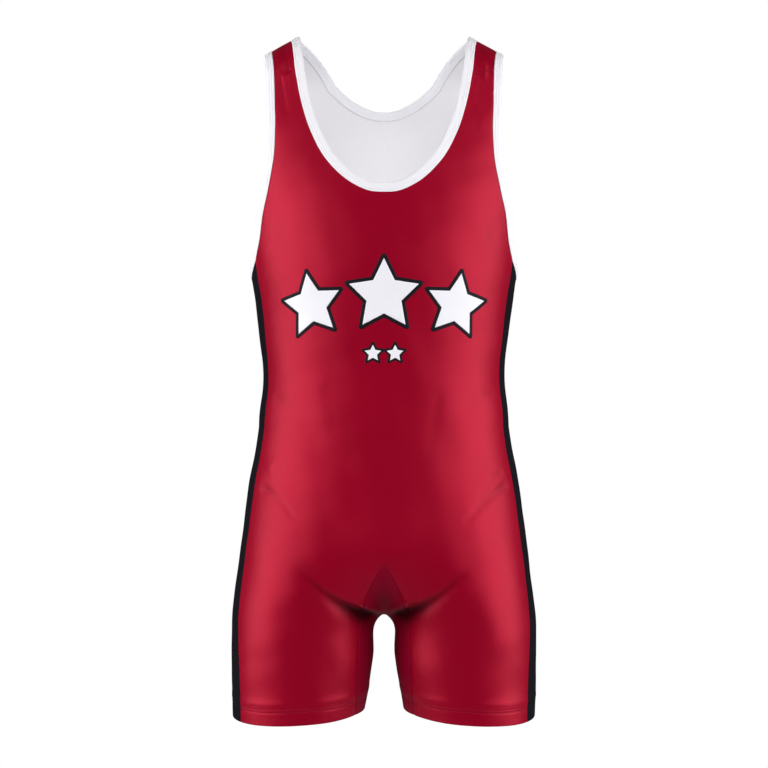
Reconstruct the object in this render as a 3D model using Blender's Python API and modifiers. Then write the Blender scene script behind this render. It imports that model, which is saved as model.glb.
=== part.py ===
"""A wrestling singlet in its worn form: hollow panels of stretch cloth that stand as on a general figure.

Metres, +Z up, the front faces -Y. The origin is between the wearer's shoulders, level with the underside of the
straps at the middle of their width. The cloth's inner face lies on `figure`, a smooth general form that is worked
out from SECTIONS, so that every panel, seam and binding meets its neighbours on one surface.
"""

import math
from collections import namedtuple

import bmesh
import bpy
import numpy as np

# Cloth.
WALL = 0.0015  # one layer of stretch cloth
HEM_WALL = 0.0027  # the same cloth, turned up and stitched down
HEM_DEPTH = 0.021
SEAM_GAP = 0.0004
HEM_STEP = 0.0015  # the height over which the wall grows to the hem's
BINDING_WIDTH = 0.0105
BINDING_WALL = 0.0029  # a strip folded over the raw edge
BINDING_CORNER = 0.4 * BINDING_WALL

FRONT, BACK = -1, 1  # the way each one faces along Y

# Heights.
SHOULDER_SEAM_Z = -0.043  # the back's straps come over the shoulders to here
UNDERARM_Z = -0.268  # where the armhole meets the two side seams
UNDERARM_DROP = 0.020  # from there down to the armhole's lowest point
GUSSET_POINT_Z = -0.622  # where the gusset begins, at centre front and centre back
THIGH_Z = -0.585  # the side seam's height on the row of cloth that starts at the gusset's point
CROTCH_Z = -0.687
HEM_Z = -0.816  # at the side seams; from there the hem rises a little to the gusset
HEM_INNER_Z = -0.808

# Shoulders: a sloping roof, rounded over at front and back.
SHOULDER_SLOPE = math.radians(21)
STRAP_MIDDLE_X = 0.124
SHOULDER_RADIUS = 0.050

# Each half of the body is an oval lobe that reaches from `inner` to `half_width`. On the torso the two lobes are one
# oval; below the hips they part, and are two legs under the crotch. `front` and `back` are depths from the side
# seams' plane, `square` is the oval's exponent, `blend` the width over which the two lobes run into one another, and
# `side` is how far each side seam lies from the plane.
Section = namedtuple("Section", "z half_width inner front back square blend side")
SECTIONS = (
    Section(0.040, 0.215, -0.215, 0.056, 0.066, 2.2, 0.000, 0.050),
    Section(-0.043, 0.198, -0.198, 0.073, 0.086, 2.2, 0.000, 0.050),
    Section(-0.115, 0.180, -0.180, 0.098, 0.108, 2.2, 0.000, 0.050),
    Section(-0.193, 0.170, -0.170, 0.117, 0.114, 2.25, 0.000, 0.050),
    Section(-0.268, 0.162, -0.162, 0.119, 0.106, 2.3, 0.000, 0.050),
    Section(-0.335, 0.1525, -0.1525, 0.110, 0.094, 2.3, 0.000, 0.047),
    Section(-0.400, 0.1455, -0.1455, 0.103, 0.090, 2.3, 0.000, 0.042),
    Section(-0.465, 0.150, -0.150, 0.102, 0.100, 2.3, 0.000, 0.042),
    Section(-0.535, 0.1625, -0.147, 0.104, 0.118, 2.3, 0.000, 0.043),
    Section(-0.590, 0.1695, -0.092, 0.104, 0.126, 2.25, 0.018, 0.045),
    Section(-0.640, 0.1765, -0.030, 0.100, 0.121, 2.2, 0.045, 0.047),
    Section(-0.692, 0.1825, 0.0105, 0.094, 0.108, 2.15, 0.010, 0.049),
    Section(-0.745, 0.1840, 0.0145, 0.090, 0.098, 2.15, 0.000, 0.051),
    Section(-0.825, 0.1815, 0.0280, 0.085, 0.089, 2.15, 0.000, 0.050),
)
# The round underside between the thighs.
PELVIS_RADII = (0.080, 0.094, 0.085)
PELVIS_BLEND = 0.030

# The edges of the cloth at the neck, from the shoulder seam's height (0) to the centre (1).
NeckEdge = namedtuple("NeckEdge", "share front_x front_z back_x back_z")
NECK_EDGES = (
    NeckEdge(0.00, 0.1040, -0.0430, 0.0695, -0.0430),
    NeckEdge(0.20, 0.0963, -0.0820, 0.0580, -0.0535),
    NeckEdge(0.40, 0.0845, -0.1195, 0.0450, -0.0630),
    NeckEdge(0.60, 0.0660, -0.1540, 0.0310, -0.0705),
    NeckEdge(0.80, 0.0370, -0.1820, 0.0160, -0.0758),
    NeckEdge(0.93, 0.0135, -0.1922, 0.0057, -0.0773),
    NeckEdge(1.00, 0.0000, -0.1930, 0.0000, -0.0775),
)
# The front view of the straps' outer edges, which end at the side seams.
ArmholeEdge = namedtuple("ArmholeEdge", "z front_x back_x")
ARMHOLE_EDGES = (
    ArmholeEdge(-0.043, 0.1305, 0.1320),
    ArmholeEdge(-0.079, 0.1290, 0.1250),
    ArmholeEdge(-0.115, 0.1275, 0.1200),
    ArmholeEdge(-0.150, 0.1293, 0.1190),
    ArmholeEdge(-0.185, 0.1355, 0.1225),
    ArmholeEdge(-0.220, 0.1430, 0.1310),
    ArmholeEdge(-0.245, 0.1462, 0.1420),
)
# Both edges of a strap over the top of the shoulder, from the shoulder seam (0) to the same height on the back (1).
Crossing = namedtuple("Crossing", "share neck_x armhole_x")
CROSSINGS = (
    Crossing(0.00, 0.1040, 0.1305),
    Crossing(0.25, 0.1090, 0.1345),
    Crossing(0.50, 0.1125, 0.1360),
    Crossing(0.75, 0.1030, 0.1350),
    Crossing(1.00, 0.0695, 0.1320),
)
# Half the width of the gusset below its points at centre front and centre back.
GussetEdge = namedtuple("GussetEdge", "z front_x back_x")
GUSSET_EDGES = (
    GussetEdge(-0.622, 0.0000, 0.0000),
    GussetEdge(-0.640, 0.0110, 0.0110),
    GussetEdge(-0.665, 0.0220, 0.0220),
    GussetEdge(-0.700, 0.0290, 0.0290),
    GussetEdge(-0.760, 0.0330, 0.0330),
    GussetEdge(-0.825, 0.0370, 0.0370),
)

# Faces of each panel: rows run along the garment's length.
PANEL_COLUMNS = 7
NECK_ROWS = {FRONT: 12, BACK: 6}
ARMHOLE_ROWS = 12
STRAP_ROWS = 10
SIDE_ROWS = 18
LEG_ROWS = 8
SIDE_COLUMNS = 6
GUSSET_COLUMNS = 6
ROW_SAG = 1.6  # above 1, a row of the front or back stays near its height at the side seam for longer

# A ray is followed in strides until it leaves the figure, and that last stride is halved again and again.
STRIDE, STRIDES, HALVINGS = 0.008, 40, 20
NORMAL_STEP = 1e-5
MERGE_DISTANCE = 0.0001

# A point inside each hole that a binding goes round.
NECK_OPENING = np.array((0, 0, -0.04))
ARM_OPENING = np.array((0.21, 0, -0.14))

Cloth = namedtuple("Cloth", "colour roughness")
CLOTHS = {
    "red_stretch_cloth": Cloth((0.40, 0.005, 0.018), 0.42),
    "red_gusset_cloth": Cloth((0.36, 0.004, 0.016), 0.45),
    "black_stretch_cloth": Cloth((0.012, 0.012, 0.014), 0.50),
    "white_binding": Cloth((0.86, 0.86, 0.88), 0.60),
}


def smooth_table(rows, at, column, key="z"):
    """A table's column at any value of its key, on a smooth curve through its rows."""
    rows = sorted(rows, key=lambda row: getattr(row, key))
    x = np.array([getattr(row, key) for row in rows])
    y = np.array([getattr(row, column) for row in rows])
    at = np.clip(at, x[0], x[-1])
    slope = np.gradient(y, x)
    before = np.clip(np.searchsorted(x, at) - 1, 0, len(x) - 2)
    step = x[before + 1] - x[before]
    t = (at - x[before]) / step
    return (
        (1 + 2 * t) * (1 - t) ** 2 * y[before]
        + t * (1 - t) ** 2 * step * slope[before]
        + t * t * (3 - 2 * t) * y[before + 1]
        + t * t * (t - 1) * step * slope[before + 1]
    )


def section(z, column):
    return smooth_table(SECTIONS, z, column)


def lobe_centre(z):
    return (section(z, "half_width") + section(z, "inner")) / 2


def lobe_reach(z):
    return (section(z, "half_width") - section(z, "inner")) / 2


def smooth_union(a, b, width):
    overlap = np.maximum(width - np.abs(a - b), 0) / np.maximum(width, 1e-9)
    return np.minimum(a, b) - overlap**2 * width / 4


def round_intersection(a, b, radius):
    return np.minimum(-radius, np.maximum(a, b)) + np.hypot(
        np.maximum(radius + a, 0), np.maximum(radius + b, 0)
    )


def figure(points):
    """How far each point is outside the general figure that fills the garment; negative inside it."""
    x, y, z = np.abs(points[..., 0]), points[..., 1], points[..., 2]
    centre, reach, square = lobe_centre(z), lobe_reach(z), section(z, "square")
    front, back = section(z, "front"), section(z, "back")
    depth = np.where(y < 0, front, back)

    def lobe(side):
        ratio = (np.abs(side * x - centre) / reach) ** square + (np.abs(y) / depth) ** square
        return (ratio ** (1 / square) - 1) * (front + back) / 2

    body = smooth_union(lobe(1), lobe(-1), section(z, "blend"))
    along_x, along_y, along_z = PELVIS_RADII
    to_pelvis = np.sqrt(
        (x / along_x) ** 2 + (y / along_y) ** 2 + ((z - CROTCH_Z - along_z) / along_z) ** 2
    )
    body = smooth_union(body, (to_pelvis - 1) * min(PELVIS_RADII), PELVIS_BLEND)
    roof = (z + math.tan(SHOULDER_SLOPE) * (x - STRAP_MIDDLE_X)) * math.cos(SHOULDER_SLOPE)
    return round_intersection(body, roof, SHOULDER_RADIUS)


def normals(points):
    """The figure's outward direction at each point."""
    slope = [figure(points + NORMAL_STEP * axis) - figure(points - NORMAL_STEP * axis) for axis in np.eye(3)]
    slope = np.stack(slope, axis=-1)
    return slope / np.linalg.norm(slope, axis=-1, keepdims=True)


def cast(origin, towards):
    """Where rays from inside the figure first leave it."""
    towards = towards / np.linalg.norm(towards, axis=-1, keepdims=True)

    def outside(distance):
        return figure(origin + distance[..., None] * towards) > 0

    near = np.zeros(np.broadcast_shapes(origin.shape, towards.shape)[:-1])
    for _ in range(STRIDES):
        near = np.where(outside(near + STRIDE), near, near + STRIDE)
    far = near + STRIDE
    for _ in range(HALVINGS):
        middle = (near + far) / 2
        out = outside(middle)
        near, far = np.where(out, near, middle), np.where(out, middle, far)
    return origin + near[..., None] * towards


def points_of(x, y, z):
    return np.stack(np.broadcast_arrays(x, y, z), axis=-1).astype(float)


def straight_out(x, z, facing):
    """The figure's point straight in front of, or behind, a point of the side seams' plane."""
    origin = points_of(x, 0, z)
    return cast(origin, np.array((0, facing, 0)))


def side_point(y, z):
    return cast(points_of(lobe_centre(z), y, z), np.array((1, 0, 0)))


def side_seam(z, facing):
    return side_point(facing * section(z, "side"), z)


def spread(start, end, count):
    return np.linspace(start, end, count + 1)


def leg_heights(start, hem):
    """Rows from a height on the thigh to the hem, with two close together at the top of the turned-up part."""
    top = hem + HEM_DEPTH
    return np.append(spread(start, top + HEM_STEP, LEG_ROWS), (top, hem))


def neckline(facing):
    """The neck's edge from the shoulder seam's height to the centre."""
    share = spread(0, 1, NECK_ROWS[facing])
    side = "front" if facing == FRONT else "back"
    x, z = (smooth_table(NECK_EDGES, share, f"{side}_{axis}", "share") for axis in "xz")
    return straight_out(x, z, facing)


def armhole(facing):
    """The armhole's edge from the shoulder seam's height down to the side seam."""
    z = spread(SHOULDER_SEAM_Z, UNDERARM_Z, ARMHOLE_ROWS)
    corner = side_seam(z[-1:], facing)[0]
    edges = ARMHOLE_EDGES + (ArmholeEdge(UNDERARM_Z, corner[0], corner[0]),)
    edge = straight_out(smooth_table(edges, z, "front_x" if facing == FRONT else "back_x"), z, facing)
    edge[-1] = corner
    return edge


def gusset_seam(facing):
    z = leg_heights(GUSSET_POINT_Z, HEM_INNER_Z)
    x = smooth_table(GUSSET_EDGES, z, "front_x" if facing == FRONT else "back_x")
    return straight_out(x, z, facing)


def body_grid(facing):
    """Half of the front, or of the back, from the shoulder seam's height down to the hem."""
    inner_edge = neckline(facing)
    centre_rows = ARMHOLE_ROWS + SIDE_ROWS - NECK_ROWS[facing]
    centre = straight_out(0, spread(inner_edge[-1, 2], GUSSET_POINT_Z, centre_rows), facing)
    side = side_seam(spread(UNDERARM_Z, THIGH_Z, SIDE_ROWS), facing)
    thigh = side_seam(leg_heights(THIGH_Z, HEM_Z), facing)
    inner = np.concatenate((inner_edge, centre[1:], gusset_seam(facing)[1:]))
    outer = np.concatenate((armhole(facing), side[1:], thigh[1:]))

    def angle(edge):
        share = (edge[:, 0] - lobe_centre(edge[:, 2])) / lobe_reach(edge[:, 2])
        return np.arcsin(np.clip(share, -1, 1))[:, None]

    share = spread(0, 1, PANEL_COLUMNS)
    turn = angle(inner) + (angle(outer) - angle(inner)) * share
    z = outer[:, 2:] + (inner[:, 2:] - outer[:, 2:]) * (1 - share) ** ROW_SAG
    grid = straight_out(lobe_centre(z) + lobe_reach(z) * np.sin(turn), z, facing)
    grid[:, 0], grid[:, -1] = inner, outer
    return grid


def strap_grid():
    """A strap from the shoulder seam, over the shoulder, to the same height on the back."""
    share = spread(0, 1, STRAP_ROWS)[:, None]
    neck = smooth_table(CROSSINGS, share, "neck_x", "share")
    edge = smooth_table(CROSSINGS, share, "armhole_x", "share")
    x = neck + (edge - neck) * spread(0, 1, PANEL_COLUMNS)
    turn = math.pi * share
    return cast(points_of(x, 0, SHOULDER_SEAM_Z), points_of(0, -np.cos(turn), np.sin(turn)))


def back_grid():
    return np.concatenate((strap_grid()[:-1], body_grid(BACK)))


def side_grid():
    """The panel between the side seams, from the armhole to the hem."""
    seam_z = np.append(spread(UNDERARM_Z, THIGH_Z, SIDE_ROWS), leg_heights(THIGH_Z, HEM_Z)[1:])[:, None]
    across = spread(-1, 1, SIDE_COLUMNS)
    straight_from = (UNDERARM_Z + THIGH_Z) / 2
    drop = np.clip((seam_z - straight_from) / (UNDERARM_Z - straight_from), 0, 1)
    z = seam_z - UNDERARM_DROP * drop * (1 - across**2)
    return side_point(across * section(z, "side"), z)


def gusset_grid():
    """Half of the strip that runs under the crotch and down the inside of a leg, in rows from front to back."""
    front, back = gusset_seam(FRONT), gusset_seam(BACK)
    z = leg_heights(GUSSET_POINT_Z, HEM_INNER_Z)
    share = ((z - z[0]) / (z[-1] - z[0]))[:, None]
    start, end = np.array((0, 0, CROTCH_Z)), np.array((section(z[-1], "inner"), 0, z[-1]))
    level_turn = np.array((end[0] / 2, 0, CROTCH_Z))
    middle = start * (1 - share) ** 2 + level_turn * 2 * share * (1 - share) + end * share**2
    across = spread(0, 1, GUSSET_COLUMNS)[:, None]
    guide = (
        (1 - across) * (1 - 2 * across) * front[:, None]
        + 4 * across * (1 - across) * middle[:, None]
        + across * (2 * across - 1) * back[:, None]
    )
    origin = points_of(lobe_centre(z) * np.sqrt(share[:, 0]), 0, z)[:, None]
    grid = cast(origin, guide - origin)
    grid[:, 0], grid[:, -1] = front, back
    return grid


def pull_back(grid, *edges):
    """Moves edges of a grid into the cloth, which leaves the gap of a seam."""
    edge_and_next = {
        "top": (np.s_[0], np.s_[1]),
        "first": (np.s_[:, 0], np.s_[:, 1]),
        "last": (np.s_[:, -1], np.s_[:, -2]),
    }
    moved = grid.copy()
    for name in edges:
        edge, next_to = edge_and_next[name]
        inwards = grid[next_to] - grid[edge]
        moved[edge] += SEAM_GAP * inwards / np.linalg.norm(inwards, axis=-1, keepdims=True)
    return moved


def other_side(points):
    return points * (-1, 1, 1)


def cloth_material(name):
    material = bpy.data.materials.new(name)
    material.use_nodes = True
    shader = material.node_tree.nodes["Principled BSDF"]
    shader.inputs["Base Color"].default_value = (*CLOTHS[name].colour, 1)
    shader.inputs["Roughness"].default_value = CLOTHS[name].roughness
    shader.inputs["Metallic"].default_value = 0
    return material


def add_object(name, rings, closed, cloth):
    """An object whose faces join each ring of points to the next one."""
    count, sides = rings.shape[:2]
    last_ring, last_side = (count, sides) if closed else (count - 1, sides - 1)
    faces = [
        (
            ring * sides + side,
            ring * sides + (side + 1) % sides,
            (ring + 1) % count * sides + (side + 1) % sides,
            (ring + 1) % count * sides + side,
        )
        for ring in range(last_ring)
        for side in range(last_side)
    ]
    mesh = bpy.data.meshes.new(name)
    mesh.from_pydata(rings.reshape(-1, 3).tolist(), [], faces)
    mesh.materials.append(cloth_material(cloth))
    part = bpy.data.objects.new(name, mesh)
    bpy.data.collections["wrestling_singlet"].objects.link(part)
    return part


def panel(name, grid, cloth, mirrored=False):
    """A wall of cloth on a grid of points. Its last two rows are the turned-up hem, which is thicker."""
    part = add_object(name, grid, False, cloth)
    mesh = part.data
    middle = mesh.polygons[len(mesh.polygons) // 2]
    if np.dot(middle.normal, normals(np.array(middle.center))) < 0:
        mesh.flip_normals()

    thickness = part.vertex_groups.new(name="thickness")
    hem = range(grid[:-2, :, 0].size, grid[..., 0].size)
    thickness.add(range(hem.start), WALL / HEM_WALL, "REPLACE")
    thickness.add(hem, 1, "REPLACE")
    if mirrored:
        mirror = part.modifiers.new("mirror", "MIRROR")
        mirror.merge_threshold = MERGE_DISTANCE
    wall = part.modifiers.new("wall", "SOLIDIFY")
    wall.thickness = HEM_WALL
    wall.offset = 1
    wall.vertex_group = thickness.name
    mesh.shade_smooth()


def binding(name, edge, opening):
    """A folded strip sewn along a closed edge of the cloth. `opening` is a point inside the hole it goes round."""
    out = normals(edge)
    along = np.roll(edge, -1, axis=0) - np.roll(edge, 1, axis=0)
    inwards = np.cross(along, out)
    inwards /= np.linalg.norm(inwards, axis=1, keepdims=True)
    inwards *= np.sign(np.sum(inwards * (opening - edge), axis=1, keepdims=True))
    half = BINDING_WALL / 2
    profile = (
        (SEAM_GAP, -half),
        (BINDING_WIDTH - BINDING_CORNER, -half),
        (BINDING_WIDTH, BINDING_CORNER - half),
        (BINDING_WIDTH, half - BINDING_CORNER),
        (BINDING_WIDTH - BINDING_CORNER, half),
        (SEAM_GAP, half),
    )
    middle = edge + out * WALL / 2
    rings = np.stack([middle + across * inwards + up * out for across, up in profile], axis=1)
    part = add_object(name, rings, True, "white_binding")
    shape = bmesh.new()
    shape.from_mesh(part.data)
    bmesh.ops.recalc_face_normals(shape, faces=shape.faces)
    shape.to_mesh(part.data)
    shape.free()


def build():
    for leftover in list(bpy.data.objects):
        bpy.data.objects.remove(leftover)
    singlet = bpy.data.collections.new("wrestling_singlet")
    bpy.context.scene.collection.children.link(singlet)

    front, back, side, gusset = body_grid(FRONT), back_grid(), side_grid(), gusset_grid()
    panel("front_panel", pull_back(front, "top"), "red_stretch_cloth", mirrored=True)
    panel("back_panel", back, "red_stretch_cloth", mirrored=True)
    panel("inner_leg_gusset", pull_back(gusset, "first", "last"), "red_gusset_cloth", mirrored=True)
    side_panel = pull_back(side, "first", "last")
    panel("side_panel_left", side_panel, "black_stretch_cloth")
    panel("side_panel_right", other_side(side_panel), "black_stretch_cloth")

    front_neck, front_armhole = front[: NECK_ROWS[FRONT] + 1, 0], front[: ARMHOLE_ROWS + 1, -1]
    back_neck = back[: STRAP_ROWS + NECK_ROWS[BACK] + 1, 0]
    back_armhole = back[: STRAP_ROWS + ARMHOLE_ROWS + 1, -1]
    half_neck = np.concatenate((front_neck[:0:-1], back_neck))
    neck = np.concatenate((half_neck, other_side(half_neck)[-2:0:-1]))
    binding("neck_binding", neck, NECK_OPENING)
    arm = np.concatenate((front_armhole[:0:-1], back_armhole[:-1], side[0, :0:-1]))
    binding("armhole_binding_left", arm, ARM_OPENING)
    binding("armhole_binding_right", other_side(arm), other_side(ARM_OPENING))


build()
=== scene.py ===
"""The looks of a wrestling singlet in its worn form: fine shells of satin stretch cloth.

Metres, +Z up, the front faces -Y. Every surface is worked out from `figure`, the general form that the CAD
panels lie on, at a finer step and with the cloth's creases, seams, folded bindings and stitches added.
"""

import math
from collections import namedtuple

import bmesh
import bpy
import numpy as np
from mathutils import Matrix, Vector


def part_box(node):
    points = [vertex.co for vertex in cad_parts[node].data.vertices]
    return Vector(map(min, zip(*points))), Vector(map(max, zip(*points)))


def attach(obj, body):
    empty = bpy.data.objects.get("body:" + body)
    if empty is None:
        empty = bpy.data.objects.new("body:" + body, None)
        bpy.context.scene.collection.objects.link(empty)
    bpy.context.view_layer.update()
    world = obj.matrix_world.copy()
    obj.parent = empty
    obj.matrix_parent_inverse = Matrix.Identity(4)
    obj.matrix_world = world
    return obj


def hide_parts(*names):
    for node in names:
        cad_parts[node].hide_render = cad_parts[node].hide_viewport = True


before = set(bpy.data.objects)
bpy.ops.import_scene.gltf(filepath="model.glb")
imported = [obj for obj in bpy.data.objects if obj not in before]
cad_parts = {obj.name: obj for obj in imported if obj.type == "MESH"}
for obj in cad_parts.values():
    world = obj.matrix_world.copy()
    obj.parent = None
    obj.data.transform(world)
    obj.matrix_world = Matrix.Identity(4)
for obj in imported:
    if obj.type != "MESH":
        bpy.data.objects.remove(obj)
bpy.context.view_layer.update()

TINY = 1e-9
FRONT, BACK = -1, 1  # the way each one faces along Y
SIDE_NAMES = {FRONT: "front", BACK: "back"}

# --- The figure and the edges of the panels, as in the CAD model ---
WALL = 0.0015
HEM_DEPTH = 0.021

SHOULDER_SEAM_Z = -0.043
UNDERARM_Z = -0.268
UNDERARM_DROP = 0.020
GUSSET_POINT_Z = -0.622
THIGH_Z = -0.585
CROTCH_Z = -0.687
HEM_Z = -0.816
HEM_INNER_Z = -0.808

SHOULDER_SLOPE = math.radians(21)
STRAP_MIDDLE_X = 0.124
SHOULDER_RADIUS = 0.050

Section = namedtuple("Section", "z half_width inner front back square blend side")
SECTIONS = (
    Section(0.040, 0.215, -0.215, 0.056, 0.066, 2.2, 0.000, 0.050),
    Section(-0.043, 0.198, -0.198, 0.073, 0.086, 2.2, 0.000, 0.050),
    Section(-0.115, 0.180, -0.180, 0.098, 0.108, 2.2, 0.000, 0.050),
    Section(-0.193, 0.170, -0.170, 0.117, 0.114, 2.25, 0.000, 0.050),
    Section(-0.268, 0.162, -0.162, 0.119, 0.106, 2.3, 0.000, 0.050),
    Section(-0.335, 0.1525, -0.1525, 0.110, 0.094, 2.3, 0.000, 0.047),
    Section(-0.400, 0.1455, -0.1455, 0.103, 0.090, 2.3, 0.000, 0.042),
    Section(-0.465, 0.150, -0.150, 0.102, 0.100, 2.3, 0.000, 0.042),
    Section(-0.535, 0.1625, -0.147, 0.104, 0.118, 2.3, 0.000, 0.043),
    Section(-0.590, 0.1695, -0.092, 0.104, 0.126, 2.25, 0.018, 0.045),
    Section(-0.640, 0.1765, -0.030, 0.100, 0.121, 2.2, 0.045, 0.047),
    Section(-0.692, 0.1825, 0.0105, 0.094, 0.108, 2.15, 0.010, 0.049),
    Section(-0.745, 0.1840, 0.0145, 0.090, 0.098, 2.15, 0.000, 0.051),
    Section(-0.825, 0.1815, 0.0280, 0.085, 0.089, 2.15, 0.000, 0.050),
)
PELVIS_RADII = (0.080, 0.094, 0.085)
PELVIS_BLEND = 0.030

STRIDE, STRIDES, HALVINGS = 0.008, 40, 18  # how a ray finds the figure's surface
NORMAL_STEP = 1e-5
ROW_SAG = 1.6  # how the rows of the front and the back dip towards the middle

NeckEdge = namedtuple("NeckEdge", "share front_x front_z back_x back_z")
NECK_EDGES = (
    NeckEdge(0.00, 0.1040, -0.0430, 0.0695, -0.0430),
    NeckEdge(0.20, 0.0963, -0.0820, 0.0580, -0.0535),
    NeckEdge(0.40, 0.0845, -0.1195, 0.0450, -0.0630),
    NeckEdge(0.60, 0.0660, -0.1540, 0.0310, -0.0705),
    NeckEdge(0.80, 0.0370, -0.1820, 0.0160, -0.0758),
    NeckEdge(0.93, 0.0135, -0.1922, 0.0057, -0.0773),
    NeckEdge(1.00, 0.0000, -0.1930, 0.0000, -0.0775),
)
ArmholeEdge = namedtuple("ArmholeEdge", "z front_x back_x")
ARMHOLE_EDGES = (
    ArmholeEdge(-0.043, 0.1305, 0.1320),
    ArmholeEdge(-0.079, 0.1290, 0.1250),
    ArmholeEdge(-0.115, 0.1275, 0.1200),
    ArmholeEdge(-0.150, 0.1293, 0.1190),
    ArmholeEdge(-0.185, 0.1355, 0.1225),
    ArmholeEdge(-0.220, 0.1430, 0.1310),
    ArmholeEdge(-0.245, 0.1462, 0.1420),
)
Crossing = namedtuple("Crossing", "share neck_x armhole_x")
CROSSINGS = (
    Crossing(0.00, 0.1040, 0.1305),
    Crossing(0.25, 0.1090, 0.1345),
    Crossing(0.50, 0.1125, 0.1360),
    Crossing(0.75, 0.1030, 0.1350),
    Crossing(1.00, 0.0695, 0.1320),
)
GussetEdge = namedtuple("GussetEdge", "z x")
GUSSET_EDGES = (
    GussetEdge(-0.622, 0.0000),
    GussetEdge(-0.640, 0.0110),
    GussetEdge(-0.665, 0.0220),
    GussetEdge(-0.700, 0.0290),
    GussetEdge(-0.760, 0.0330),
    GussetEdge(-0.825, 0.0370),
)

# --- The fine cloth ---
CLOTH = 0.0009  # one layer
HEM_CLOTH = 0.0019  # two layers, with the air between them
LEAST_HEM_SHARE = 0.1  # how much of that is left at the hem's very edge
HEM_RISE = 0.0003  # how far the turned-up part stands proud of the leg
TURN_UP_EDGE = 0.001  # half the height over which the turned-up part ends
# the cloth bulges over the top of the hem
HEM_SWELL, HEM_SWELL_HEIGHT, HEM_SWELL_WIDTH = 0.0006, 0.0256, 0.0050
NEEDLE_LINES = (0.0158, 0.0192)  # heights of the hem's two stitch lines above its edge
SEAM_DIP, SEAM_DIP_WIDTH = 0.00040, 0.0011
NEEDLE_DIP, NEEDLE_DIP_WIDTH = 0.00030, 0.0011

# Faces of each panel. Rows run along the garment's length, and columns next to a seam are closer together.
NECK_ROWS = {FRONT: 84, BACK: 42}
ARMHOLE_ROWS = 84
STRAP_ROWS = 44
SIDE_ROWS = 126
LEG_ROWS = 96
HEM_ZONE, HEM_ROWS, FOLD_ROWS = 0.028, 28, 5
EDGE_STEPS = np.array((0.0004, 0.0008, 0.0012, 0.0018, 0.0027, 0.0042))
EDGE_SHARE = 0.3  # the most of a row that the short steps beside one edge take up
EDGE_ROWS = 4  # extra rows beside a shoulder seam
LEAST_WIDTH = 1e-4
COLUMNS = {"front": 70, "back": 62, "side": 34, "gusset": 40}

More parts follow.
